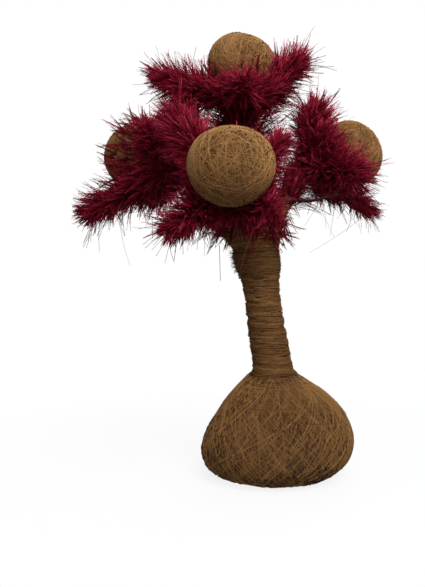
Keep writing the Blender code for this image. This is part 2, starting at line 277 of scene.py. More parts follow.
def join(links, *pairs):
    """Link sockets: each pair is a node, its output, another node and its input."""
    for source, output, target, entry in pairs:
        links.new(source.outputs[output], target.inputs[entry])


def colour_ramp(nodes, stops):
    ramp = nodes.new("ShaderNodeValToRGB")
    ramp.color_ramp.elements[0].position = stops[0][0]
    ramp.color_ramp.elements[0].color = (*stops[0][1], 1.0)
    ramp.color_ramp.elements[1].position = stops[-1][0]
    ramp.color_ramp.elements[1].color = (*stops[-1][1], 1.0)
    for at, colour in stops[1:-1]:
        ramp.color_ramp.elements.new(at).color = (*colour, 1.0)
    return ramp


def fibre_material(name, stops, roughness, specular):
    """Fibres coloured by the shade that each one carries."""
    mat, nodes, links, shader = node_material(name, roughness, specular)
    shade = nodes.new("ShaderNodeAttribute")
    shade.attribute_name = "shade"
    ramp = colour_ramp(nodes, stops)
    join(links, (shade, "Fac", ramp, "Fac"), (ramp, "Color", shader, "Base Color"))
    return mat


def mottled_material(name, dark, light, roughness, scale, bump, grain=1.0, metal=0.0, low=0.3):
    """A solid material mottled and roughened by noise in object space."""
    mat, nodes, links, shader = node_material(name, roughness)
    shader.inputs["Metallic"].default_value = metal
    where = nodes.new("ShaderNodeTexCoord")
    mapping = nodes.new("ShaderNodeMapping")
    mapping.inputs["Scale"].default_value = (1.0, 1.0, grain)
    noise = nodes.new("ShaderNodeTexNoise")
    noise.inputs["Scale"].default_value = scale
    noise.inputs["Detail"].default_value = 6.0
    ramp = colour_ramp(nodes, [(low, dark), (1.0 - low, light)])
    join(links, (where, "Object", mapping, "Vector"), (mapping, "Vector", noise, "Vector"),
         (noise, "Fac", ramp, "Fac"), (ramp, "Color", shader, "Base Color"))
    relief = nodes.new("ShaderNodeBump")
    relief.inputs["Strength"].default_value = bump
    relief.inputs["Distance"].default_value = 0.0006
    join(links, (noise, "Fac", relief, "Height"), (relief, "Normal", shader, "Normal"))
    return mat


def make_materials():
    tan = [(0.0, (0.030, 0.011, 0.003)), (0.35, (0.190, 0.083, 0.024)),
           (0.70, (0.35, 0.180, 0.058)), (1.0, (0.56, 0.33, 0.128))]
    wine = [(0.0, (0.015, 0.001, 0.0015)), (0.35, (0.108, 0.003, 0.008)),
            (0.70, (0.250, 0.007, 0.025)), (1.0, (0.56, 0.055, 0.115))]
    return {
        "fibre": fibre_material("fibre_thread", tan, 0.75, 0.25),
        "pile": fibre_material("dyed_pile", wine, 0.6, 0.07),
        # the beds are far darker than the fibre over them: painted shade in the gaps between
        # threads
        "bed": mottled_material("packed_fibre_painted_shade", (0.028, 0.011, 0.003), (0.10, 0.045, 0.014),
                                0.9, 900.0, 0.6),
        # the cores under the pile are nearly black: painted shade deep inside the pile
        "pile_bed": mottled_material("matted_pile_painted_shade", (0.010, 0.001, 0.001), (0.055, 0.002, 0.007),
                                     0.9, 700.0, 0.6),
        "weight": mottled_material("plaster_clay", (0.33, 0.20, 0.12), (0.52, 0.37, 0.26),
                                   0.9, 60.0, 0.4),
        "stick": mottled_material("stick_wood", (0.20, 0.11, 0.05), (0.38, 0.24, 0.12),
                                  0.8, 90.0, 0.3, grain=0.08),
        "paper": mottled_material("crumpled_paper", (0.42, 0.35, 0.26), (0.62, 0.55, 0.43),
                                  0.9, 120.0, 0.8),
        "wire": mottled_material("dark_wire", (0.016, 0.006, 0.006), (0.055, 0.020, 0.018),
                                 0.6, 400.0, 0.3, metal=0.3, low=0.35),
    }


def coat_hidden():
    """Give the CAD nodes that stay as they are the materials of what they stand for."""
    for name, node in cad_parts.items():
        kind = next((kind for words, kind in HIDDEN if name.startswith(words)), None)
        if kind:
            node.data.materials.clear()
            node.data.materials.append(mats[kind])


# ---- surfaces under the windings

def ball_surface(name):
    """A smooth ball fitted to a wound ball's CAD solid: its radius in any direction."""
    centre = box_centre("ball_winding_" + name)
    rel = node_points("ball_winding_" + name) - centre
    radius = norm(rel, axis=1)
    outer = radius > 0.93 * np.median(np.sort(radius)[-60:])
    d = unit(rel[outer])
    fit = np.linalg.lstsq(ball_terms(d), radius[outer], rcond=None)[0]
    return centre, lambda way: ball_terms(way) @ fit


def ball_terms(d):
    x, y, z = d[..., 0], d[..., 1], d[..., 2]
    return np.stack([np.ones_like(x), x, y, z, x * y, y * z, x * z, x * x, y * y,
                     x ** 3, y ** 3, z ** 3], axis=-1)


def lathe_rows(name):
    """Height, outer radius and centre of an upright wound piece, from the foot to the top."""
    points = node_points(name)
    heights = np.round(points[:, 2], 1)
    rows = []
    for z in np.unique(heights):
        level = points[heights == z]
        mid = (level[:, :2].min(axis=0) + level[:, :2].max(axis=0)) / 2
        rows.append([z, norm(level[:, :2] - mid, axis=1).max(), mid[0]])
    return np.array(outside_only(rows))


def outside_only(rows, slack=0.8):
    """Drop the rows that lie inside the outline through their neighbours."""
    while True:
        deficit = []
        for (z0, r0, _), (z1, r1, _), (z2, r2, _) in zip(rows, rows[1:], rows[2:]):
            deficit.append(r0 + (r2 - r0) * (z1 - z0) / (z2 - z0) - r1)
        worst = int(np.argmax(deficit))
        if deficit[worst] < slack:
            return rows
        del rows[worst + 1]


def smooth_rows(rows, count=80):
    """The lathe rows joined by a smooth curve, evenly stepped."""
    line = smoothed(np.stack([rows[:, 1], rows[:, 2], rows[:, 0]], axis=1), count)
    return np.stack([line[:, 2], line[:, 0], line[:, 1]], axis=1)


def on_lathe(rows, share, angle, lift):
    """Points and normals at a share of the way up an outline, lifted off it."""
    at = run_of(np.hypot(np.diff(rows[:, 0]), np.diff(rows[:, 1])))
    want = share * at[-1]
    height, radius, mid = (np.interp(want, at, rows[:, k]) for k in range(3))
    out = np.stack([np.interp(want, at, np.gradient(rows[:, 0], at)),
                    -np.interp(want, at, np.gradient(rows[:, 1], at))], axis=-1)
    out = unit(out)
    normal = np.stack([out[..., 0] * np.cos(angle), out[..., 0] * np.sin(angle),
                       out[..., 1]], axis=-1)
    spot = np.stack([mid + radius * np.cos(angle), radius * np.sin(angle), height], axis=-1)
    return spot + normal * lift[..., None], normal


def outward(angle):
    return np.stack([np.cos(angle), np.sin(angle), 0 * angle], axis=-1)


def unrolled(angle, radius):
    """How far round a surface an angle is, in millimetres."""
    return (angle % ONE_LAP) * radius


def ranks(count):
    """The order in which threads are laid, from 0 to 1."""
    return np.linspace(0.0, 1.0, count)[:, None]


def tuck(lift, depth):
    """Sink both ends of every thread below its neighbours."""
    lift[:, 0] -= depth
    lift[:, -1] -= depth


def dips(r, across, along, count, size, depth):
    """How deep threads sink at places scattered over a surface laid out flat, in millimetres."""
    wide, high = across.max() - across.min(), along.max() - along.min()
    sink = np.zeros(np.broadcast(across, along).shape)
    for _ in range(count):
        away = across - across.min() - r.uniform(0, wide)
        away = (away + wide / 2) % wide - wide / 2
        over = along - along.min() - r.uniform(0, high)
        grow = r.uniform(0.6, 1.5)
        sink += np.exp(-(away / (size[0] * grow)) ** 2 - (over / (size[1] * grow)) ** 2)
    return -depth * np.minimum(sink, 1.0)


# ---- wound balls

BALL_LOOPS = 960
BALL_STEPS = 33
BALL_THREAD_R = 0.23
BALL_FLECKS = 620  # black specks between the threads: painted shade of pits where they part
FLECK_STEPS = 4
FLECK_SHAPE = np.array([[0.10, 0.52, 0.52, 0.10]])  # a fleck's radius from end to end
FLECKS_IN_PATCH = 16


def wind_ball(name):
    """Loops of thread round a ball at random, over packed fibre darkened as painted shade."""
    r = rng("ball" + name)
    centre, radius = ball_surface(name)
    n = BALL_LOOPS
    pole = unit(r.normal(size=(n, 3)))
    favourite = unit(r.normal(size=3))
    pole[::3] = unit(pole[::3] + 1.6 * favourite)
    a = unit(np.cross(pole, unit(r.normal(size=(n, 3)))))
    b = np.cross(pole, a)
    turn = np.linspace(0.0, TURN, BALL_STEPS)[None, :] + r.uniform(0, ANY_ANGLE, (n, 1))
    shift = r.normal(0.0, 0.16, (n, 1)) + 0.03 * np.sin(turn * r.integers(1, 4, (n, 1)))
    way = (a[:, None, :] * np.cos(turn)[..., None] + b[:, None, :] * np.sin(turn)[..., None]
           + pole[:, None, :] * shift[..., None])
    way = unit(way)
    layer = np.linspace(-0.95, 0.2, n)[:, None] + 0.15 * np.sin(turn * 3 + r.uniform(0, 6, (n, 1)))
    tuck(layer, 1.0)
    paths = centre + way * (radius(way) + layer)[..., None]
    # painted shade: threads laid earlier lie deeper and are darker, as if shaded by the ones over
    # them
    tint = 0.12 + 0.60 * ranks(n) ** 1.8 + r.normal(0, 0.13, (n, 1))
    # painted shade: threads are darker where the ball faces down
    tint = tint - 0.26 * np.clip(-way[..., 2], 0, 1)
    size = BALL_THREAD_R * r.uniform(0.65, 1.15, (n, 1))
    lay_tubes("fibre", "ball_threads_" + name, paths, size, tint, way, "ball_winding_" + name)

    n = BALL_FLECKS
    patch = unit(r.normal(size=(n // FLECKS_IN_PATCH + 1, 3)))
    spot = unit(np.repeat(patch, FLECKS_IN_PATCH, axis=0)[:n] + r.normal(0, 0.16, (n, 3)))
    along = unit(np.cross(spot, unit(r.normal(size=(n, 3)))))
    reach = np.linspace(-0.5, 0.5, FLECK_STEPS)[None, :] * r.uniform(0.015, 0.055, (n, 1))
    way = unit(spot[:, None, :] + along[:, None, :] * reach[..., None])
    paths = centre + way * (radius(way) + 0.36)[..., None]
    size = FLECK_SHAPE * r.uniform(0.45, 1.2, (n, 1))
    # the flecks are black: painted shade in the pits between the threads
    lay_tubes("fibre", "ball_flecks_" + name, paths, size, 0.0, way, "ball_winding_" + name)

    angle = np.linspace(0.02, np.pi - 0.02, 28)[:, None]
    spin = spins(48)
    way = np.stack([np.sin(angle) * np.cos(spin), np.sin(angle) * np.sin(spin),
                    -np.cos(angle) + 0 * spin], axis=-1)
    rings = centre + way * (radius(way) - BED_DEPTH)[..., None]
    lay_skin("bed", "ball_bed_" + name, rings, "ball_winding_" + name)
    return centre, radius


# ---- base

BASE_THREADS = 1000
BASE_STEPS = 32
BASE_DIPS = 150
BASE_FLECKS = 1100
BASE_OUTLINE = 150.0  # about how far it is up the base's outline, in millimetres
BASE_RADIUS = 60.0  # and its usual radius there
NECK_THREADS = 260
NECK_STEPS = 36
NECK_RADIUS = 35.0
NECK_DIPS = 40


def bed_on_lathe(name, rows, node, floor=0.4):
    """Packed fibre under a lathe-shaped winding, one closed surface, dark as painted shade."""
    spin = spins(BED_SIDES)
    share = ranks(BED_ROWS)
    lift = np.full((BED_ROWS, BED_SIDES), -BED_DEPTH)
    rings, _ = on_lathe(rows, share + 0 * spin, spin + 0 * share, lift)
    rings[..., 2] = np.maximum(rings[..., 2], floor)
    lay_skin("bed", name, rings, node)


def wind_base():
    """Threads laid from the neck down to the foot at a slant, both ways, so that they cross."""
    r = rng("base")
    rows = smooth_rows(lathe_rows("base_winding"))
    n = BASE_THREADS
    t = np.linspace(0.0, 1.0, BASE_STEPS)[None, :]
    full = r.uniform(size=(n, 1)) < 0.7
    low = np.where(full, r.uniform(0.0, 0.05, (n, 1)), r.uniform(0.0, 0.5, (n, 1)))
    high = np.where(full, r.uniform(0.90, 1.0, (n, 1)), r.uniform(0.72, 1.0, (n, 1)))
    share = low + (high - low) * t
    slant = r.choice([-1.0, 1.0], (n, 1)) * np.abs(r.normal(0.62, 0.30, (n, 1)))
    angle = r.uniform(0, TURN, (n, 1)) + slant * (t - 0.5) * 2
    angle = angle + 0.015 * np.sin(9 * t + slant * 9)
    rank = ranks(n)
    lift = -1.0 + 1.15 * rank + 0.1 * np.sin(12 * t + 5 * slant)
    pits = dips(r, unrolled(angle, BASE_RADIUS), share * BASE_OUTLINE, BASE_DIPS, (1.5, 4.5), 1.6)
    lift = lift + pits * np.clip(1.0 - (share - 0.30) / 0.55, 0.25, 1.0)
    paths, normal = on_lathe(rows, share, angle, lift)
    paths[..., 2] = np.maximum(paths[..., 2], 1.2 * THREAD_R)
    # painted shade: threads laid earlier lie deeper and are darker, as if shaded by the ones over
    # them
    lay_threads("base_threads", r, paths, normal, 0.26 + 0.36 * rank, 0.12, (0.7, 1.15),
                "base_winding")
    bed_on_lathe("base_bed", rows, "base_winding")
    fleck_base(rows)
    wind_neck(rows)


def fleck_base(rows):
    """Dark specks in patches between the base's slanting threads, painted shade of gaps."""
    r = rng("base_flecks")
    n = BASE_FLECKS
    patches = n // FLECKS_IN_PATCH + 1
    share, angle = r.uniform(0.10, 0.62, (patches, 1)), r.uniform(0, TURN, (patches, 1))
    share, angle = (np.repeat(v, FLECKS_IN_PATCH, axis=0)[:n] for v in (share, angle))
    share = np.clip(share + r.normal(0, 0.05, (n, 1)), 0.06, 0.70)
    angle = angle + r.normal(0, 0.10, (n, 1))
    along = np.linspace(-0.5, 0.5, FLECK_STEPS)[None, :] * r.uniform(1.5, 5.0, (n, 1))
    slant = r.choice([-1.0, 1.0], (n, 1)) * np.abs(r.normal(0.45, 0.15, (n, 1)))
    share = share + along * np.cos(slant) / BASE_OUTLINE
    angle = angle + along * np.sin(slant) / BASE_RADIUS
    paths, normal = on_lathe(rows, share, angle, np.full(share.shape, 0.22))
    paths[..., 2] = np.maximum(paths[..., 2], FLECK_SHAPE.max())
    size = FLECK_SHAPE * r.uniform(0.4, 0.95, (n, 1))
    # the flecks are black: painted shade in the gaps between the threads
    lay_tubes("fibre", "base_flecks", paths, size, 0.0, normal, "base_winding")


def wind_neck(rows):
    """Threads round the base's shoulder, nearly level, matted in with the slanting ones."""
    r = rng("neck")
    n = NECK_THREADS
    sweep = r.uniform(1.2, 5.5, (n, 1))
    angle = r.uniform(0, ANY_ANGLE, (n, 1)) + sweep * ranks(NECK_STEPS).T
    middle = 1.0 - 0.33 * r.uniform(0, 1, (n, 1)) ** 1.5
    tilt = r.normal(0, 0.05, (n, 1))
    share = np.clip(middle + tilt * np.cos(angle - r.uniform(0, ANY_ANGLE, (n, 1))), 0.0, 1.0)
    rank = ranks(n)
    lift = -0.7 + 0.95 * rank + 0.15 * np.sin(5 * angle + 20 * tilt)
    flat = unrolled(angle, NECK_RADIUS)
    lift = lift + dips(r, flat, share * BASE_OUTLINE, NECK_DIPS, (4.0, 1.3), 1.4)
    tuck(lift, 0.9)
    paths, normal = on_lathe(rows, share, angle, lift)
    # painted shade: threads laid earlier lie deeper and are darker, as if shaded by the ones over
    # them
    lay_threads("neck_threads", r, paths, normal, 0.10 + 0.25 * rank, 0.12, (0.6, 1.0),
                "base_winding")


# ---- trunk

TRUNK_THREADS = 930
TRUNK_STEPS = 34
TRUNK_BANDS = 19
TRUNK_DIPS = 80
TRUNK_OUTLINE = 106.0
TRUNK_RADIUS = 17.0


def wind_trunk():
    """Fine threads wound almost level in uneven bands, with dark gaps where they part."""
    r = rng("trunk")
    rows = smooth_rows(lathe_rows("trunk_winding"))
    n = TRUNK_THREADS
    turn = np.linspace(0.0, 1.12, TRUNK_STEPS)[None, :]
    start = r.uniform(0, TURN, (n, 1))
    angle = start + TURN * turn
    band = r.integers(0, TRUNK_BANDS, (n, 1))
    middle = (band + 0.5 + r.uniform(-0.75, 0.75, (n, 1))) / TRUNK_BANDS
    tilt_of_band = r.normal(0.0, 0.014, TRUNK_BANDS)
    toward = r.uniform(0, ANY_ANGLE, TRUNK_BANDS)
    tilt = tilt_of_band[band] + r.normal(0, 0.011, (n, 1))
    share = middle + tilt * np.cos(angle - toward[band]) + r.normal(0, 0.014, (n, 1)) * (turn - 0.5)
    share = np.clip(share, 0.0, 1.0)
    swell = r.normal(0.0, 0.22, TRUNK_BANDS)[band] + 0.3 * np.sin(share * 70 + 2 * np.cos(angle))
    rank = ranks(n)
    lift = -0.95 + 1.0 * rank + swell * rank + 0.12 * np.sin(5 * angle + start)
    flat = unrolled(angle, TRUNK_RADIUS)
    lift = lift + dips(r, flat, share * TRUNK_OUTLINE, TRUNK_DIPS, (3.2, 0.9), 1.5)
    tuck(lift, 0.9)
    paths, normal = on_lathe(rows, share, angle, lift)
    # painted shade: threads laid earlier lie deeper and are darker; each band also differs a little
    # at random
    shade = 0.20 + 0.30 * rank + r.normal(0.0, 0.03, TRUNK_BANDS)[band]
    lay_threads("trunk_threads", r, paths, normal, shade, 0.12, (0.6, 1.1), "trunk_winding")
    bed_on_lathe("trunk_bed", rows, "trunk_winding", floor=0.0)


COLLAR_THREADS = 300
COLLAR_FRAYS = 420
FRAY_STEPS = 5


def wind_collar():
    """The loose band at the trunk's top, slacker and frayed on the side the trunk leans to."""
    r = rng("collar")
    rows = lathe_rows("collar_winding")
    n = COLLAR_THREADS
    low, high = rows[0, 0], rows[-1, 0]
    turn = np.linspace(0.0, 1.1, TRUNK_STEPS)[None, :]
    angle = r.uniform(0, ANY_ANGLE, (n, 1)) + TURN * turn
    slack = 0.5 * (1.0 - np.cos(angle))
    height = r.uniform(low - 2, high + 3, (n, 1)) + 2.4 * np.cos(angle + r.normal(0.3, 0.6, (n, 1)))
    height = height + 4.0 * slack * r.uniform(-0.4, 1.0, (n, 1))
    radius = np.interp(height, rows[:, 0], rows[:, 1]) + r.uniform(-1.6, 0.0, (n, 1))
    radius = radius + slack * (r.uniform(0.0, 1.2, (n, 1)) + 0.10 * (height - low))
    mid = np.interp(height, rows[:, 0], rows[:, 2])
    tuck(radius, 2.0)
    out = outward(angle)
    paths = out * radius[..., None]
    paths[..., 0] += mid
    paths[..., 2] = height
    lay_threads("collar_threads", r, paths, out, 0.34, 0.15, (0.6, 1.0), "collar_winding")

    n = COLLAR_FRAYS
    angle = r.normal(np.pi, 0.6, n)
    height = r.uniform(low, high + 4, n)
    radius = np.interp(height, rows[:, 0], rows[:, 1]) + 0.06 * (height - low)
    root = np.stack([np.interp(height, rows[:, 0], rows[:, 2]) + radius * np.cos(angle),
                     radius * np.sin(angle), height], axis=-1)
    out = outward(angle)
    around = np.stack([-np.sin(angle), np.cos(angle), 0 * angle], axis=-1)
    way = unit(out * 0.45 + around * r.normal(0, 1.0, (n, 1)) + r.normal(0, 0.35, (n, 3)))
    paths = hair_paths(r, root, way, r.uniform(2.0, 5.5, n), FRAY_STEPS, curl=0.5, droop=0.1)
    tint = r.normal(0.34, 0.15, (n, 1))
    size = taper(0.20, 0.08, FRAY_STEPS)
    lay_tubes("fibre", "collar_frays", paths, size, tint, None, "collar_winding")


# ---- crown

CROWN_HEIGHTS = (193.0, 219.0)
CROWN_GIRTH = 8.6  # thread laid over each branch, measured from its wire
CROWN_THREADS = 520
CROWN_RADIUS = 22.0
CROWN_DIPS = 30
CROWN_SOFT = 3.0  # how far a band stands off where it leaves one branch for the next


def crown_ring(height, angle, slack=0.0):
    """Points of a band drawn round all the branches, like a rubber band, and the ways outward."""
    spots = []
    for line in map(branch_line, FLOWERS):
        rising = line[:line[:, 2].argmax() + 1]
        spots.append([np.interp(height, rising[:, 2], rising[:, k]) for k in range(2)])
    spots = np.array(spots)
    mid = spots.mean(axis=0)
    out = outward(angle)
    reach = np.einsum("bk...,...k->b...", spots - mid, out[..., :2])
    reach = np.log(np.exp(reach / CROWN_SOFT).sum(axis=0)) * CROWN_SOFT
    reach = reach + CROWN_GIRTH + slack
    flat = np.moveaxis(mid, 0, -1) + out[..., :2] * reach[..., None]
    height = np.broadcast_to(height, reach.shape)[..., None]
    return np.concatenate([flat, height], axis=-1), out


def wind_crown():
    """Thread round the branches where they leave the trunk, tying them into one."""
    r = rng("crown")
    n = CROWN_THREADS
    low, high = CROWN_HEIGHTS
    angle = r.uniform(0, ANY_ANGLE, (n, 1))
    angle = angle + r.uniform(3.0, 7.0, (n, 1)) * ranks(TRUNK_STEPS).T
    middle = low + (high - low) * r.uniform(0, 1, (n, 1)) ** 0.9
    height = middle + r.normal(0, 2.6, (n, 1)) * np.cos(angle - r.uniform(0, ANY_ANGLE, (n, 1)))
    height = np.clip(height, low - 2, high + 4)
    rank = ranks(n)
    slack = -0.9 + 1.1 * rank + 0.25 * np.sin(3 * angle + 9 * rank)
    slack = slack + dips(r, unrolled(angle, CROWN_RADIUS), height, CROWN_DIPS, (3.0, 1.0), 1.5)
    tuck(slack, 1.5)
    paths, out = crown_ring(height, angle, slack)
    nodes = ["stem_winding_" + name for name in FLOWERS]
    # painted shade: threads laid earlier lie deeper and are darker, as if shaded by the ones over
    # them
    lay_threads("crown_threads", r, paths, out, 0.20 + 0.30 * rank, 0.13, (0.6, 1.1), *nodes)

    height = np.linspace(low, high, 14)[:, None] + 0 * spins(BED_ROWS)
    rings, _ = crown_ring(height, spins(BED_ROWS) + 0 * height, -BED_DEPTH - 0.3)
    lay_skin("bed", "crown_bed", rings, *nodes)


# ---- pile

HAIR_STEPS = 5
STRANDS = 6  # hairs in one tuft


def taper(root, tip, count):
    return np.linspace(root, tip, count)[None, :]


def hair_paths(r, root, way, length, count, curl=0.2, droop=0.1):
    """Bent hairs: straight at the root, then curled at random and sagging a little."""
    n = len(root)
    t = np.linspace(0.0, 1.0, count)[None, :, None]
    length = length[:, None, None]
    bend = np.cross(way, unit(r.normal(size=(n, 3))))[:, None, :]
    paths = root[:, None, :] + way[:, None, :] * t * length
    paths = paths + bend * (t ** 2) * length * r.normal(0, curl, (n, 1, 1))
    paths[..., 2] -= (t[..., 0] ** 2) * length[..., 0] * droop
    return paths


def tufts(r, root, way, length, curl=0.12, droop=0.05, spread=1.7):
    """Hairs in tufts: the strands of each start a little apart and meet at its point."""
    lead = hair_paths(r, root, way, length, HAIR_STEPS, curl, droop)
    n = len(root)
    t = np.linspace(0.0, 1.0, HAIR_STEPS)[None, None, :, None]
    apart = r.normal(0, spread, (n, STRANDS, 1, 3)) * (1.0 - t) ** 1.2
    apart = apart + r.normal(0, 0.55, (n, STRANDS, 1, 3)) * t
    short = r.uniform(0.58, 1.08, (n, STRANDS, 1, 1))
    base = lead[:, None, :1]
    paths = base + (lead[:, None] - base) * short + apart
    return paths.reshape(n * STRANDS, HAIR_STEPS, 3)


def hair_mesh(name, r, paths, root_shade, tip_shade, *nodes):
    """Tapered hairs with painted shade: darker at the root and where they point down."""
    n = len(paths)
    lean = unit(paths[:, -1] - paths[:, 0])[:, 2:]
    tone_and_highlight = np.repeat(r.normal(0, 0.11, (n // STRANDS + 1, 1)), STRANDS, axis=0)[:n]
    # random tone for each tuft and hair, and a painted highlight on one hair in twenty
    tone_and_highlight = tone_and_highlight + r.normal(0, 0.09, (n, 1)) + 0.34 * (r.uniform(size=(n, 1)) < 0.05)
    # painted shade: darker towards the root and where a hair points down, lighter where it points
    # up
    tint = taper(root_shade, tip_shade, HAIR_STEPS) + tone_and_highlight + 0.03 + 0.11 * lean
    size = taper(HAIR_R, HAIR_TIP_R, HAIR_STEPS) * r.uniform(0.75, 1.2, (n, 1))
    lay_tubes("pile", name, inside_limits(paths), size, tint, None, *nodes)


def inside_limits(paths):
    """Shorten the hairs that would stand too far outside the CAD model's box."""
    low, high = (np.array(corner) / MM for corner in cad_box)
    room = SPARE_SHARE * (high - low) + SPARE
    root = paths[:, :1]
    rel = paths - root
    up = (high + room - root[:, 0]) / np.maximum(rel.max(axis=1), 1e-6)
    down = (root[:, 0] - low + room) / np.maximum(-rel.min(axis=1), 1e-6)
    fit = np.clip(np.minimum(up, down).min(axis=1), 0.05, 1.0)
    paths = root + rel * fit[:, None, None]
    paths[..., 2] = np.maximum(paths[..., 2], 0.5)
    return paths


def clear_of_ball(paths, ball, gap=0.8):
    """Push hair points out of a wound ball, straight away from its centre."""
    centre, radius = ball
    rel = paths - centre
    far = norm(rel, axis=-1)
    least = radius(unit(rel)) + gap
    scale = np.where(far < least, least / np.maximum(far, 1e-6), 1.0)
    return centre + rel * scale[..., None]


def closest_pair(points, others):
    """The one of these points that comes nearest to any of the others."""
    apart = norm(points[:, None, :] - others[None, :, :], axis=2)
    return points[apart.min(axis=1).argmin()]


PETAL_FLAT = 0.8  # how much of its width a petal is deep


def petal_line(name, number, count=24):
    """A petal's centre line from its wire and its tip, with the two ways across it."""
    label = "%s_%d" % (name, number)
    wire = "petal_wire_" + label
    start = closest_pair(node_points(wire), node_points("stem_wire_" + name))
    line = wire_line(wire, start, 2.4)
    petal = node_points("petal_" + label)
    far = norm(petal - line[0], axis=1).argsort()[-8:]
    line = smoothed(np.vstack([line, petal[far].mean(axis=0)]), count)
    tangent = unit(np.gradient(line, axis=0))
    side = np.cross(tangent, box_centre("ball_winding_" + name) - line).mean(axis=0)
    side = np.broadcast_to(unit(side), line.shape)
    side = unit(side - tangent * (side * tangent).sum(-1, keepdims=True))
    inward = np.cross(side, tangent)
    return line, tangent, side, inward


PETAL_TUFTS = 720
CORE_SIDES = 16
GUARD_HAIRS = 130  # longer single hairs that stand out of a petal's pile
# petals with less pile, and shorter
SCANTY = {"front_3": 0.62, "front_4": 0.62, "left_4": 0.70, "right_3": 0.72,
          "front_2": 0.82, "top_4": 0.75}
WILD_SHARE = 0.07  # tufts that stand out of line


def swept(r, radial, ahead, degrees, spread):
    """Ways between straight out, at 90 degrees, and straight ahead, at 0, a little scattered."""
    sweep = np.radians(degrees)[:, None] + r.normal(0, spread, (len(degrees), 1))
    return unit(radial * np.sin(sweep) + ahead * np.cos(sweep))


def unruly(r, way, length):
    """Turn a few of the tufts out of line, and let them be longer."""
    wild = r.uniform(size=len(way)) < WILD_SHARE
    way = np.where(wild[:, None], unit(way + r.normal(0, 0.5, way.shape)), way)
    return way, np.where(wild, length * 1.3, length)


def grow_petal(name, number, ball):
    """One shaggy petal: tufts that leave its wire all round, swept towards its tip."""
    label = "%s_%d" % (name, number)
    r = rng("petal" + label)
    line, tangent, side, inward = petal_line(name, number)
    last = len(line) - 1
    plenty = SCANTY.get(label, 1.0)
    n = int(PETAL_TUFTS * plenty)
    s = r.uniform(0.02, 1.0, n) ** 0.9
    at = s * last
    radial, theta = fan(r, at, side, inward, PETAL_FLAT)
    radial = unit(radial)
    sweep = np.interp(s, [0.0, 0.5, 0.85, 1.0], [60.0, 48.0, 38.0, 20.0])
    way = swept(r, radial, sample(tangent, at), sweep, 0.20)
    length = np.interp(s, [0.0, 0.25, 0.6, 0.9, 1.0], [20.0, 29.0, 31.0, 26.0, 19.0])
    length = length * r.uniform(0.55, 1.10, n) * (0.92 + 0.20 * np.sin(theta[:, 0])) * plenty
    root = sample(line, at) + radial * 0.8
    way, length = unruly(r, way, length)
    paths = tufts(r, root, way, length)
    n = int(GUARD_HAIRS * plenty)
    at = r.uniform(0.15, 1.0, n) * last
    radial, _ = fan(r, at, side, inward, PETAL_FLAT)
    way = unit(radial + sample(tangent, at) * r.uniform(0.1, 1.6, (n, 1)))
    length = r.uniform(25.0, 38.0, n) * plenty
    guard = hair_paths(r, sample(line, at), way, length, HAIR_STEPS, curl=0.22, droop=0.06)
    paths = clear_of_ball(np.concatenate([paths, guard]), ball)
    hair_mesh("petal_hair_" + label, r, paths, 0.22, 0.60, "petal_" + label)

    spin = spins(CORE_SIDES)[..., None]
    girth = np.interp(np.arange(last + 1) / last, [0.0, 0.3, 0.7, 1.0], [3.4, 5.0, 4.0, 1.0])
    girth = girth[:, None, None] * (1 + 0.15 * r.normal(size=(last + 1, CORE_SIDES, 1)))
    rings = (line[:, None, :] + side[:, None, :] * np.cos(spin) * girth * 1.5
             + inward[:, None, :] * np.sin(spin) * girth)
    # the dark core is painted shade deep inside the petal's pile
    lay_skin("pile_bed", "petal_core_" + label, clear_of_ball(rings, ball), "petal_" + label)


# ---- branches

BRANCH_POINTS = 80
STEM_STEPS, PILE_STEPS = 24, 32  # points along the line in a branch's winding and pile
SLEEVE_NEAR = 7.5  # a branch's line is inside a sleeve that comes this near to it
STEM_TUFTS = 9  # tufts for each millimetre of branch
CALYX_TUFTS = 560
CALYX_CLIPPED = {"right": 0.5}  # how much shorter a calyx is below than above
STEM_THREADS = 5  # turns of thread for each millimetre of bare branch
STEM_GIRTH = 7.0  # radius of a bare branch's winding, and more at its root
STEM_ROOT_GIRTH = 9.0


def branch_line(name):
    """A branch's centre line from its wire, from inside the trunk to inside the ball."""
    points = node_points("stem_wire_" + name)
    line = wire_line("stem_wire_" + name, points[points[:, 2].argmin()], 3.6)
    return smoothed(line, BRANCH_POINTS)


def flower_axes(name):
    """A flower's axis, out of the end of its branch, and two directions across it."""
    line = branch_line(name)
    axis = unit(line[-1] - line[-12])
    side = unit(np.cross(axis, ASKEW))
    return axis, side, np.cross(axis, side)


def across(line):
    """Two untwisted directions across a line."""
    tangent = unit(np.gradient(line, axis=0))
    side = np.cross(tangent[0], ASKEW)
    sides = []
    for t in tangent:
        side = unit(side - t * side.dot(t))
        sides.append(side)
    sides = np.array(sides)
    return tangent, sides, np.cross(tangent, sides)


def sleeve_line(name, sleeve, count):
    """The stretch of a branch's line inside one of its sleeves, its tangent and ways across."""
    line, points = branch_line(name), node_points(sleeve + name)
    near = np.array([np.sort(norm(points - p, axis=1))[:6].mean() for p in line])
    inside = np.where(near < SLEEVE_NEAR)[0]
    line = resample(line[inside[0]:inside[-1] + 1], count)
    return (line, *across(line))


def sample(values, at):
    """Values along a line at fractional places."""
    low = np.clip(at.astype(int), 0, len(values) - 2)
    part = (at - low)[..., None]
    return values[low] * (1 - part) + values[low + 1] * part


def fan(r, at, side, up, flat=1.0):
    """Random directions across a line at some of its places, with their angles."""
    theta = r.uniform(0, TURN, (len(at), 1))
    return sample(side, at) * np.cos(theta) + sample(up, at) * np.sin(theta) * flat, theta


def tube_skin(name, line, girth, kind, node):
    """A closed skin along a line, for what lies under threads or hairs."""
    _, side, up = across(line)
    spin = spins(20)[..., None]
    girth = np.broadcast_to(girth, len(line))[:, None, None]
    rings = line[:, None, :] + (side[:, None, :] * np.cos(spin)
                                + up[:, None, :] * np.sin(spin)) * girth
    lay_skin(kind, name, rings, node)


def stem_girth(share):
    """The radius of a branch's winding at a share of the way along it."""
    return np.interp(share, [0.0, 0.5, 1.0], [STEM_ROOT_GIRTH, STEM_GIRTH, STEM_GIRTH])


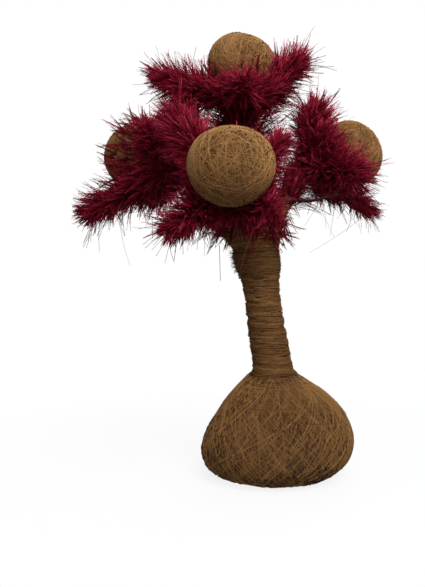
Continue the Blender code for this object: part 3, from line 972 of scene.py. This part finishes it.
def wind_branch(name):
    """The tan thread round the root of a branch."""
    r = rng("branch" + name)
    line, _, side, up = sleeve_line(name, "stem_winding_", STEM_STEPS)
    length = norm(np.diff(line, axis=0), axis=1).sum()
    n = int(length * STEM_THREADS)
    last = len(line) - 1
    turn = np.linspace(0.0, 1.1, STEM_STEPS)[None, :]
    angle = r.uniform(0, ANY_ANGLE, (n, 1)) + TURN * turn
    at = r.uniform(0, 1, (n, 1)) + r.normal(0, 0.10, (n, 1)) * np.cos(angle)
    at = np.clip(at, 0, 1) * last
    rank = ranks(n)
    girth = stem_girth(at / last) - 0.8 + 0.9 * rank + 0.1 * np.sin(4 * angle)
    tuck(girth, 0.9)
    out = sample(side, at) * np.cos(angle)[..., None] + sample(up, at) * np.sin(angle)[..., None]
    paths = sample(line, at) + out * girth[..., None]
    # painted shade: threads laid earlier lie deeper and are darker, as if shaded by the ones over
    # them
    lay_threads("branch_threads_" + name, r, paths, out, 0.22 + 0.34 * rank, 0.10, (0.7, 1.15),
                "stem_winding_" + name)
    girth = stem_girth(np.linspace(0, 1, STEM_STEPS)) - BED_DEPTH
    tube_skin("branch_bed_" + name, line, girth, "bed", "stem_winding_" + name)


def grow_branch(name, ball):
    """The burgundy pile along a branch, up to the flower's calyx."""
    r = rng("pile" + name)
    line, tangent, side, up = sleeve_line(name, "stem_pile_", PILE_STEPS)
    length = norm(np.diff(line, axis=0), axis=1).sum()
    n = int(length * STEM_TUFTS)
    s = r.uniform(0, 1, n)
    at = s * (len(line) - 1)
    radial, _ = fan(r, at, side, up)
    sweep = np.interp(s, [0.0, 0.6, 1.0], [22.0, 26.0, 44.0])
    way = swept(r, radial, sample(tangent, at), sweep, 0.12)
    size = np.interp(s, [0.0, 0.7, 1.0], [13.0, 16.0, 20.0]) * r.uniform(0.6, 1.1, n)
    way, size = unruly(r, way, size)
    girth = np.interp(s, [0.0, 0.15, 1.0], [3.5, 6.0, 5.0])[:, None]
    root = sample(line, at) + radial * girth
    paths = clear_of_ball(tufts(r, root, way, size), ball)
    # the low root and tip shades paint the shade under the flower
    hair_mesh("branch_hair_" + name, r, paths, 0.08, 0.36, "stem_pile_" + name)
    girth = np.interp(np.linspace(0, 1, PILE_STEPS), [0.0, 0.15, 1.0], [6.0, 6.8, 6.0])
    # the dark core is painted shade deep inside the branch's pile
    tube_skin("branch_core_" + name, line, girth, "pile_bed", "stem_pile_" + name)


def grow_calyx(name, ball):
    """Tufts that open out all round behind the ball and cup it between the petals."""
    r = rng("calyx" + name)
    centre, radius = ball
    axis, side, up = flower_axes(name)
    back = float(radius(-axis[None, :])[0])
    n = CALYX_TUFTS
    behind = r.uniform(1.0, 16.0, n)
    theta = r.uniform(0, TURN, n)[:, None]
    radial = side * np.cos(theta) + up * np.sin(theta)
    way = swept(r, radial, axis, np.interp(behind, [1.0, 16.0], [84.0, 44.0]), 0.14)
    root = centre - axis * (back + behind[:, None]) + radial * r.uniform(2.0, 6.0, (n, 1))
    size = np.interp(behind, [1.0, 16.0], [24.0, 34.0]) * r.uniform(0.7, 1.1, n)
    size = size * (1.0 - CALYX_CLIPPED.get(name, 0.0) * np.clip(-radial[:, 2], 0, 1))
    paths = clear_of_ball(tufts(r, root, way, size, spread=2.2), ball)
    # the low root and tip shades paint the shade under the flower
    hair_mesh("calyx_hair_" + name, r, paths, 0.12, 0.42, "stem_pile_" + name)


WEB_TUFTS = 230
WEB_REACH = 0.62  # share of a petal's length that the web between two petals fills
# how full the web is from each petal to the next, where it is not even
FULL_WEB = {"right": (1.5, 0.55, 0.25, 1.2)}


def blend(share, pair):
    return share[0] * pair[0] + share[1] * pair[1]


def grow_web(name, ball):
    """Tufts rooted between neighbouring petals, which join them into one shaggy cup."""
    r = rng("web" + name)
    centre, _ = ball
    axis = flower_axes(name)[0]
    petals = [petal_line(name, number) for number in PETALS]
    parts = []
    for first, second, full in zip(petals, petals[1:] + petals[:1],
                                   FULL_WEB.get(name, (1.0,) * len(PETALS))):
        n = int(WEB_TUFTS * full)
        mix = r.uniform(0.12, 0.88, (n, 1))
        fill = 1.0 - 0.35 * np.sin(np.pi * mix[:, 0])
        at = r.uniform(0.03, 1.0, n) ** 0.8 * fill * WEB_REACH * full * (len(first[0]) - 1)
        spots = [sample(petal[0], at) - centre for petal in (first, second)]
        high = [(spot @ axis)[:, None] for spot in spots]
        flat = [spot - up * axis for spot, up in zip(spots, high)]
        share = (1 - mix, mix)
        reach = blend(share, [norm(way, axis=1)[:, None] for way in flat])
        out = unit(blend(share, [unit(way) for way in flat]))
        root = centre + out * reach + axis * blend(share, high)
        rise = (blend(share, [sample(petal[1], at) for petal in (first, second)]) @ axis)[:, None]
        way = unit(out + axis * (0.35 + rise) + r.normal(0, 0.42, (n, 3)))
        length = r.uniform(15.0, 29.0, n)
        parts.append(tufts(r, root + r.normal(0, 1.5, (n, 3)), way, length))
    paths = clear_of_ball(np.concatenate(parts), ball)
    nodes = ["petal_%s_%d" % (name, number) for number in PETALS]
    hair_mesh("web_hair_" + name, r, paths, 0.18, 0.55, *nodes)


# how many tufts lie over each ball, how far round it they start, and their greatest length
VEIL = {"top": (60, 78.0, 17.0), "front": (10, 70.0, 14.0), "left": (210, 100.0, 25.0),
        "right": (50, 72.0, 14.0)}
# how many tufts stand out round each branch, and the share of its pile that they start along
WISPS = {"top": (560, 0.30, 0.95), "front": (10, 0.0, 0.7), "left": (30, 0.0, 0.7),
         "right": (60, 0.0, 0.7)}


def grow_veil(name, ball):
    """Thin tufts that lie over the side of a ball, from its calyx towards its crown."""
    r = rng("veil" + name)
    centre, radius = ball
    axis, side, up = flower_axes(name)
    n, far, longest = VEIL[name]
    tilt = np.radians(r.uniform(50.0, far, (n, 1)))
    theta = r.uniform(0, TURN, (n, 1))
    out = (side * np.cos(theta) + up * np.sin(theta)) * np.sin(tilt) - axis * np.cos(tilt)
    root = centre + out * (radius(out)[:, None] + 1.0)
    way = unit(axis - out * (out @ axis)[:, None])
    way = unit(way + out * r.uniform(0.1, 0.9, (n, 1)) + r.normal(0, 0.3, (n, 3)))
    paths = tufts(r, root, way, r.uniform(8.0, longest, n), curl=0.2, spread=0.9)
    hair_mesh("veil_hair_" + name, r, clear_of_ball(paths, ball), 0.25, 0.50, "stem_pile_" + name)


def grow_wisps(name, ball):
    """Sparse long pile that stands out round a branch below its flower."""
    r = rng("wisps" + name)
    line, tangent, side, up = sleeve_line(name, "stem_pile_", PILE_STEPS)
    n, low, high = WISPS[name]
    at = r.uniform(low, high, n) * (len(line) - 1)
    radial, _ = fan(r, at, side, up)
    ahead = sample(tangent, at) * r.uniform(0.0, 1.2, (n, 1))
    way = unit(radial + ahead + r.normal(0, 0.3, (n, 3)))
    paths = tufts(r, sample(line, at) + radial * 5.0, way, r.uniform(18.0, 50.0, n), curl=0.3,
                  spread=4.5)
    hair_mesh("wisp_hair_" + name, r, clear_of_ball(paths, ball), 0.12, 0.30, "stem_pile_" + name)


LOOSE_HAIRS = 190
LOOSE_STEPS = 12
# the tops and lengths of two stouter hairs that hang straight down
HANGING = (((-110.0, 0.0, 240.0), 31.0), ((-51.5, -60.0, 204.0), 29.0))


def loose_hairs():
    """Long single hairs that have worked loose, arching over the flowers or hanging down."""
    r = rng("loose")
    root, way = [], []
    for flower in FLOWERS:
        for number in PETALS:
            line, tangent, side, inward = petal_line(flower, number)
            pick = r.integers(0, len(line), LOOSE_HAIRS // (len(FLOWERS) * len(PETALS)))
            theta = r.uniform(0, TURN, (len(pick), 1))
            out = side[pick] * np.cos(theta) + inward[pick] * np.sin(theta)
            root.append(line[pick] + out * 2.0)
            way.append(unit(out + tangent[pick] * r.normal(0.3, 0.6, (len(pick), 1))))
    root, way = np.concatenate(root), np.concatenate(way)
    length = r.uniform(22.0, 44.0, len(root))
    paths = hair_paths(r, root, way, length, LOOSE_STEPS, curl=0.45, droop=0.30)
    tint = r.normal(0.5, 0.22, (len(root), 1))
    size = np.repeat(taper(0.2, 0.1, LOOSE_STEPS), len(root), axis=0)
    top = np.array([spot for spot, _ in HANGING])
    drop = np.array([long for _, long in HANGING])
    down = np.tile([0.02, 0.0, -1.0], (len(top), 1))
    hung = hair_paths(r, top, down, drop, LOOSE_STEPS, curl=0.02, droop=0.0)
    paths = np.concatenate([paths, hung])
    tint = np.concatenate([tint, np.full((len(top), 1), 0.2)])
    size = np.concatenate([size, np.repeat(taper(0.30, 0.24, LOOSE_STEPS), len(top), axis=0)])
    lay_tubes("pile", "loose_hairs", inside_limits(paths), size, tint, None)


SPUR_BRISTLES = 150


def bristle_spur():
    """Short clipped pile left along the bare wire under the right-hand flower."""
    r = rng("spur")
    line = smoothed(wire_line("bare_spine", node_points("bare_spine")[0], 3.2), 30)
    tangent, side, up = across(line)
    n = SPUR_BRISTLES
    at = r.uniform(0, 1, n) * (len(line) - 1)
    out, _ = fan(r, at, side, up)
    way = unit(out + sample(tangent, at) * r.uniform(0.4, 2.0, (n, 1)))
    size = r.uniform(1.5, 4.5, n) * np.where(r.uniform(size=n) < 0.12, 3.5, 1.0)
    paths = hair_paths(r, sample(line, at) + out, way, size, HAIR_STEPS, curl=0.3, droop=0.1)
    tint = r.normal(0.3, 0.1, (n, 1))
    lay_tubes("pile", "spur_bristles", paths, taper(HAIR_R, HAIR_TIP_R, HAIR_STEPS), tint, None)


CROWN_TUFTS = 130
CROWN_CAP_TUFTS = 260


def drape_crown():
    """Pile that falls from the branches' roots over the tan thread of the crown."""
    r = rng("drape")
    n = CROWN_TUFTS
    angle = r.uniform(0, TURN, (n, 1))
    height = CROWN_HEIGHTS[1] + r.uniform(-7.0, 6.0, (n, 1))
    root, out = (v[:, 0] for v in crown_ring(height, angle, 0.2))
    around = np.cross(out, [0.0, 0.0, 1.0])
    way = unit(out * r.uniform(0.2, 0.9, (n, 1)) + around * r.normal(0, 0.7, (n, 1))
               + np.array([0.0, 0.0, -1.0]) * r.uniform(-0.5, 1.1, (n, 1)))
    paths = tufts(r, root, way, r.uniform(8.0, 20.0, n), curl=0.25, droop=0.15, spread=1.2)
    nodes = ["stem_pile_" + name for name in FLOWERS]
    hair_mesh("crown_hair", r, paths, 0.35, 0.55, *nodes)

    n = CROWN_CAP_TUFTS
    angle = r.uniform(0, TURN, (n, 1))
    rim, out = (v[:, 0] for v in crown_ring(np.full((n, 1), CROWN_HEIGHTS[1]), angle))
    hub = rim.mean(axis=0)
    root = hub + (rim - hub) * r.uniform(0, 1, (n, 1)) ** 0.6
    way = unit(out * r.uniform(0.0, 1.2, (n, 1)) + [0.0, 0.0, 1.0] + r.normal(0, 0.4, (n, 3)))
    paths = tufts(r, root, way, r.uniform(8.0, 17.0, n), curl=0.2, spread=2.0)
    hair_mesh("crown_cap_hair", r, paths, 0.15, 0.45, *nodes)


# ---- stage

def look_at(obj, place, aim):
    obj.location = place
    obj.rotation_euler = (Vector(aim) - Vector(place)).to_track_quat("-Z", "Y").to_euler()


def add_light(name, place, aim, size, power):
    data = bpy.data.lights.new(name, "AREA")
    data.size = size
    data.energy = power
    look_at(linked(name, data), place, aim)


def build_stage():
    data = bpy.data.cameras.new("camera")
    data.sensor_fit = "VERTICAL"
    distance = (Vector(CAMERA_AIM) - Vector(CAMERA_AT)).length
    data.angle = 2 * math.atan(FRAME_HEIGHT / 2 / distance)
    camera = linked("camera", data)
    look_at(camera, CAMERA_AT, CAMERA_AIM)
    bpy.context.scene.camera = camera
    build_floor()
    for name, light in LIGHTS.items():
        add_light(name, *light)
    build_world()
    bpy.context.scene.view_settings.view_transform = "Standard"


def build_floor():
    """A pale floor, faint enough to show only a soft shadow on the white surround."""
    corners = FLOOR_HALF * np.array([(-1, -1, 0), (1, -1, 0), (1, 1, 0), (-1, 1, 0)])
    mesh = mesh_from("floor", corners, np.array([[0, 1, 2, 3]]))
    mat, nodes, links, shader = node_material("pale_floor", 0.9)
    shader.inputs["Base Color"].default_value = (0.9, 0.9, 0.9, 1.0)
    where = nodes.new("ShaderNodeTexCoord")
    far = nodes.new("ShaderNodeVectorMath")
    far.operation = "LENGTH"
    fade = nodes.new("ShaderNodeMapRange")
    fade.inputs["From Min"].default_value = FLOOR_FADE[0]
    fade.inputs["From Max"].default_value = FLOOR_FADE[1]
    fade.inputs["To Min"].default_value = 1.0 - FLOOR_SHOWS
    clear = nodes.new("ShaderNodeBsdfTransparent")
    mix = nodes.new("ShaderNodeMixShader")
    join(links, (where, "Object", far, 0), (far, "Value", fade, "Value"),
         (fade, "Result", mix, "Fac"), (shader, "BSDF", mix, 1), (clear, "BSDF", mix, 2),
         (mix, "Shader", nodes["Material Output"], "Surface"))
    mesh.materials.append(mat)
    linked("floor", mesh)


def build_world():
    """White to look at, and a dimmer white as a source of light."""
    world = bpy.data.worlds.new("studio")
    bpy.context.scene.world = world
    world.use_nodes = True
    nodes, links = world.node_tree.nodes, world.node_tree.links
    seen = nodes["Background"]
    seen.inputs["Color"].default_value = (1.0, 1.0, 1.0, 1.0)
    lit = nodes.new("ShaderNodeBackground")
    lit.inputs["Strength"].default_value = WORLD_LIGHT
    ray = nodes.new("ShaderNodeLightPath")
    mix = nodes.new("ShaderNodeMixShader")
    join(links, (ray, "Is Camera Ray", mix, "Fac"), (lit, "Background", mix, 1),
         (seen, "Background", mix, 2), (mix, "Shader", nodes["World Output"], "Surface"))


# ---- build

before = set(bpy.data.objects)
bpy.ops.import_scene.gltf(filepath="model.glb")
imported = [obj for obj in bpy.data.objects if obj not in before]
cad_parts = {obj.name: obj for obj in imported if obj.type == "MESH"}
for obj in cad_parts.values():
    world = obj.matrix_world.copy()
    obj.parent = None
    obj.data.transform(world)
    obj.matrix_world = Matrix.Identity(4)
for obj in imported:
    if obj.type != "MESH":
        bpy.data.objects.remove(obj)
cad_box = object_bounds()
mats = make_materials()
build_stage()
wind_base()
wind_trunk()
wind_collar()
wind_crown()
drape_crown()
loose_hairs()
bristle_spur()
coat_hidden()
for flower in FLOWERS:
    ball = wind_ball(flower)
    wind_branch(flower)
    grow_branch(flower, ball)
    grow_calyx(flower, ball)
    grow_web(flower, ball)
    grow_veil(flower, ball)
    grow_wisps(flower, ball)
    for number in PETALS:
        grow_petal(flower, number, ball)
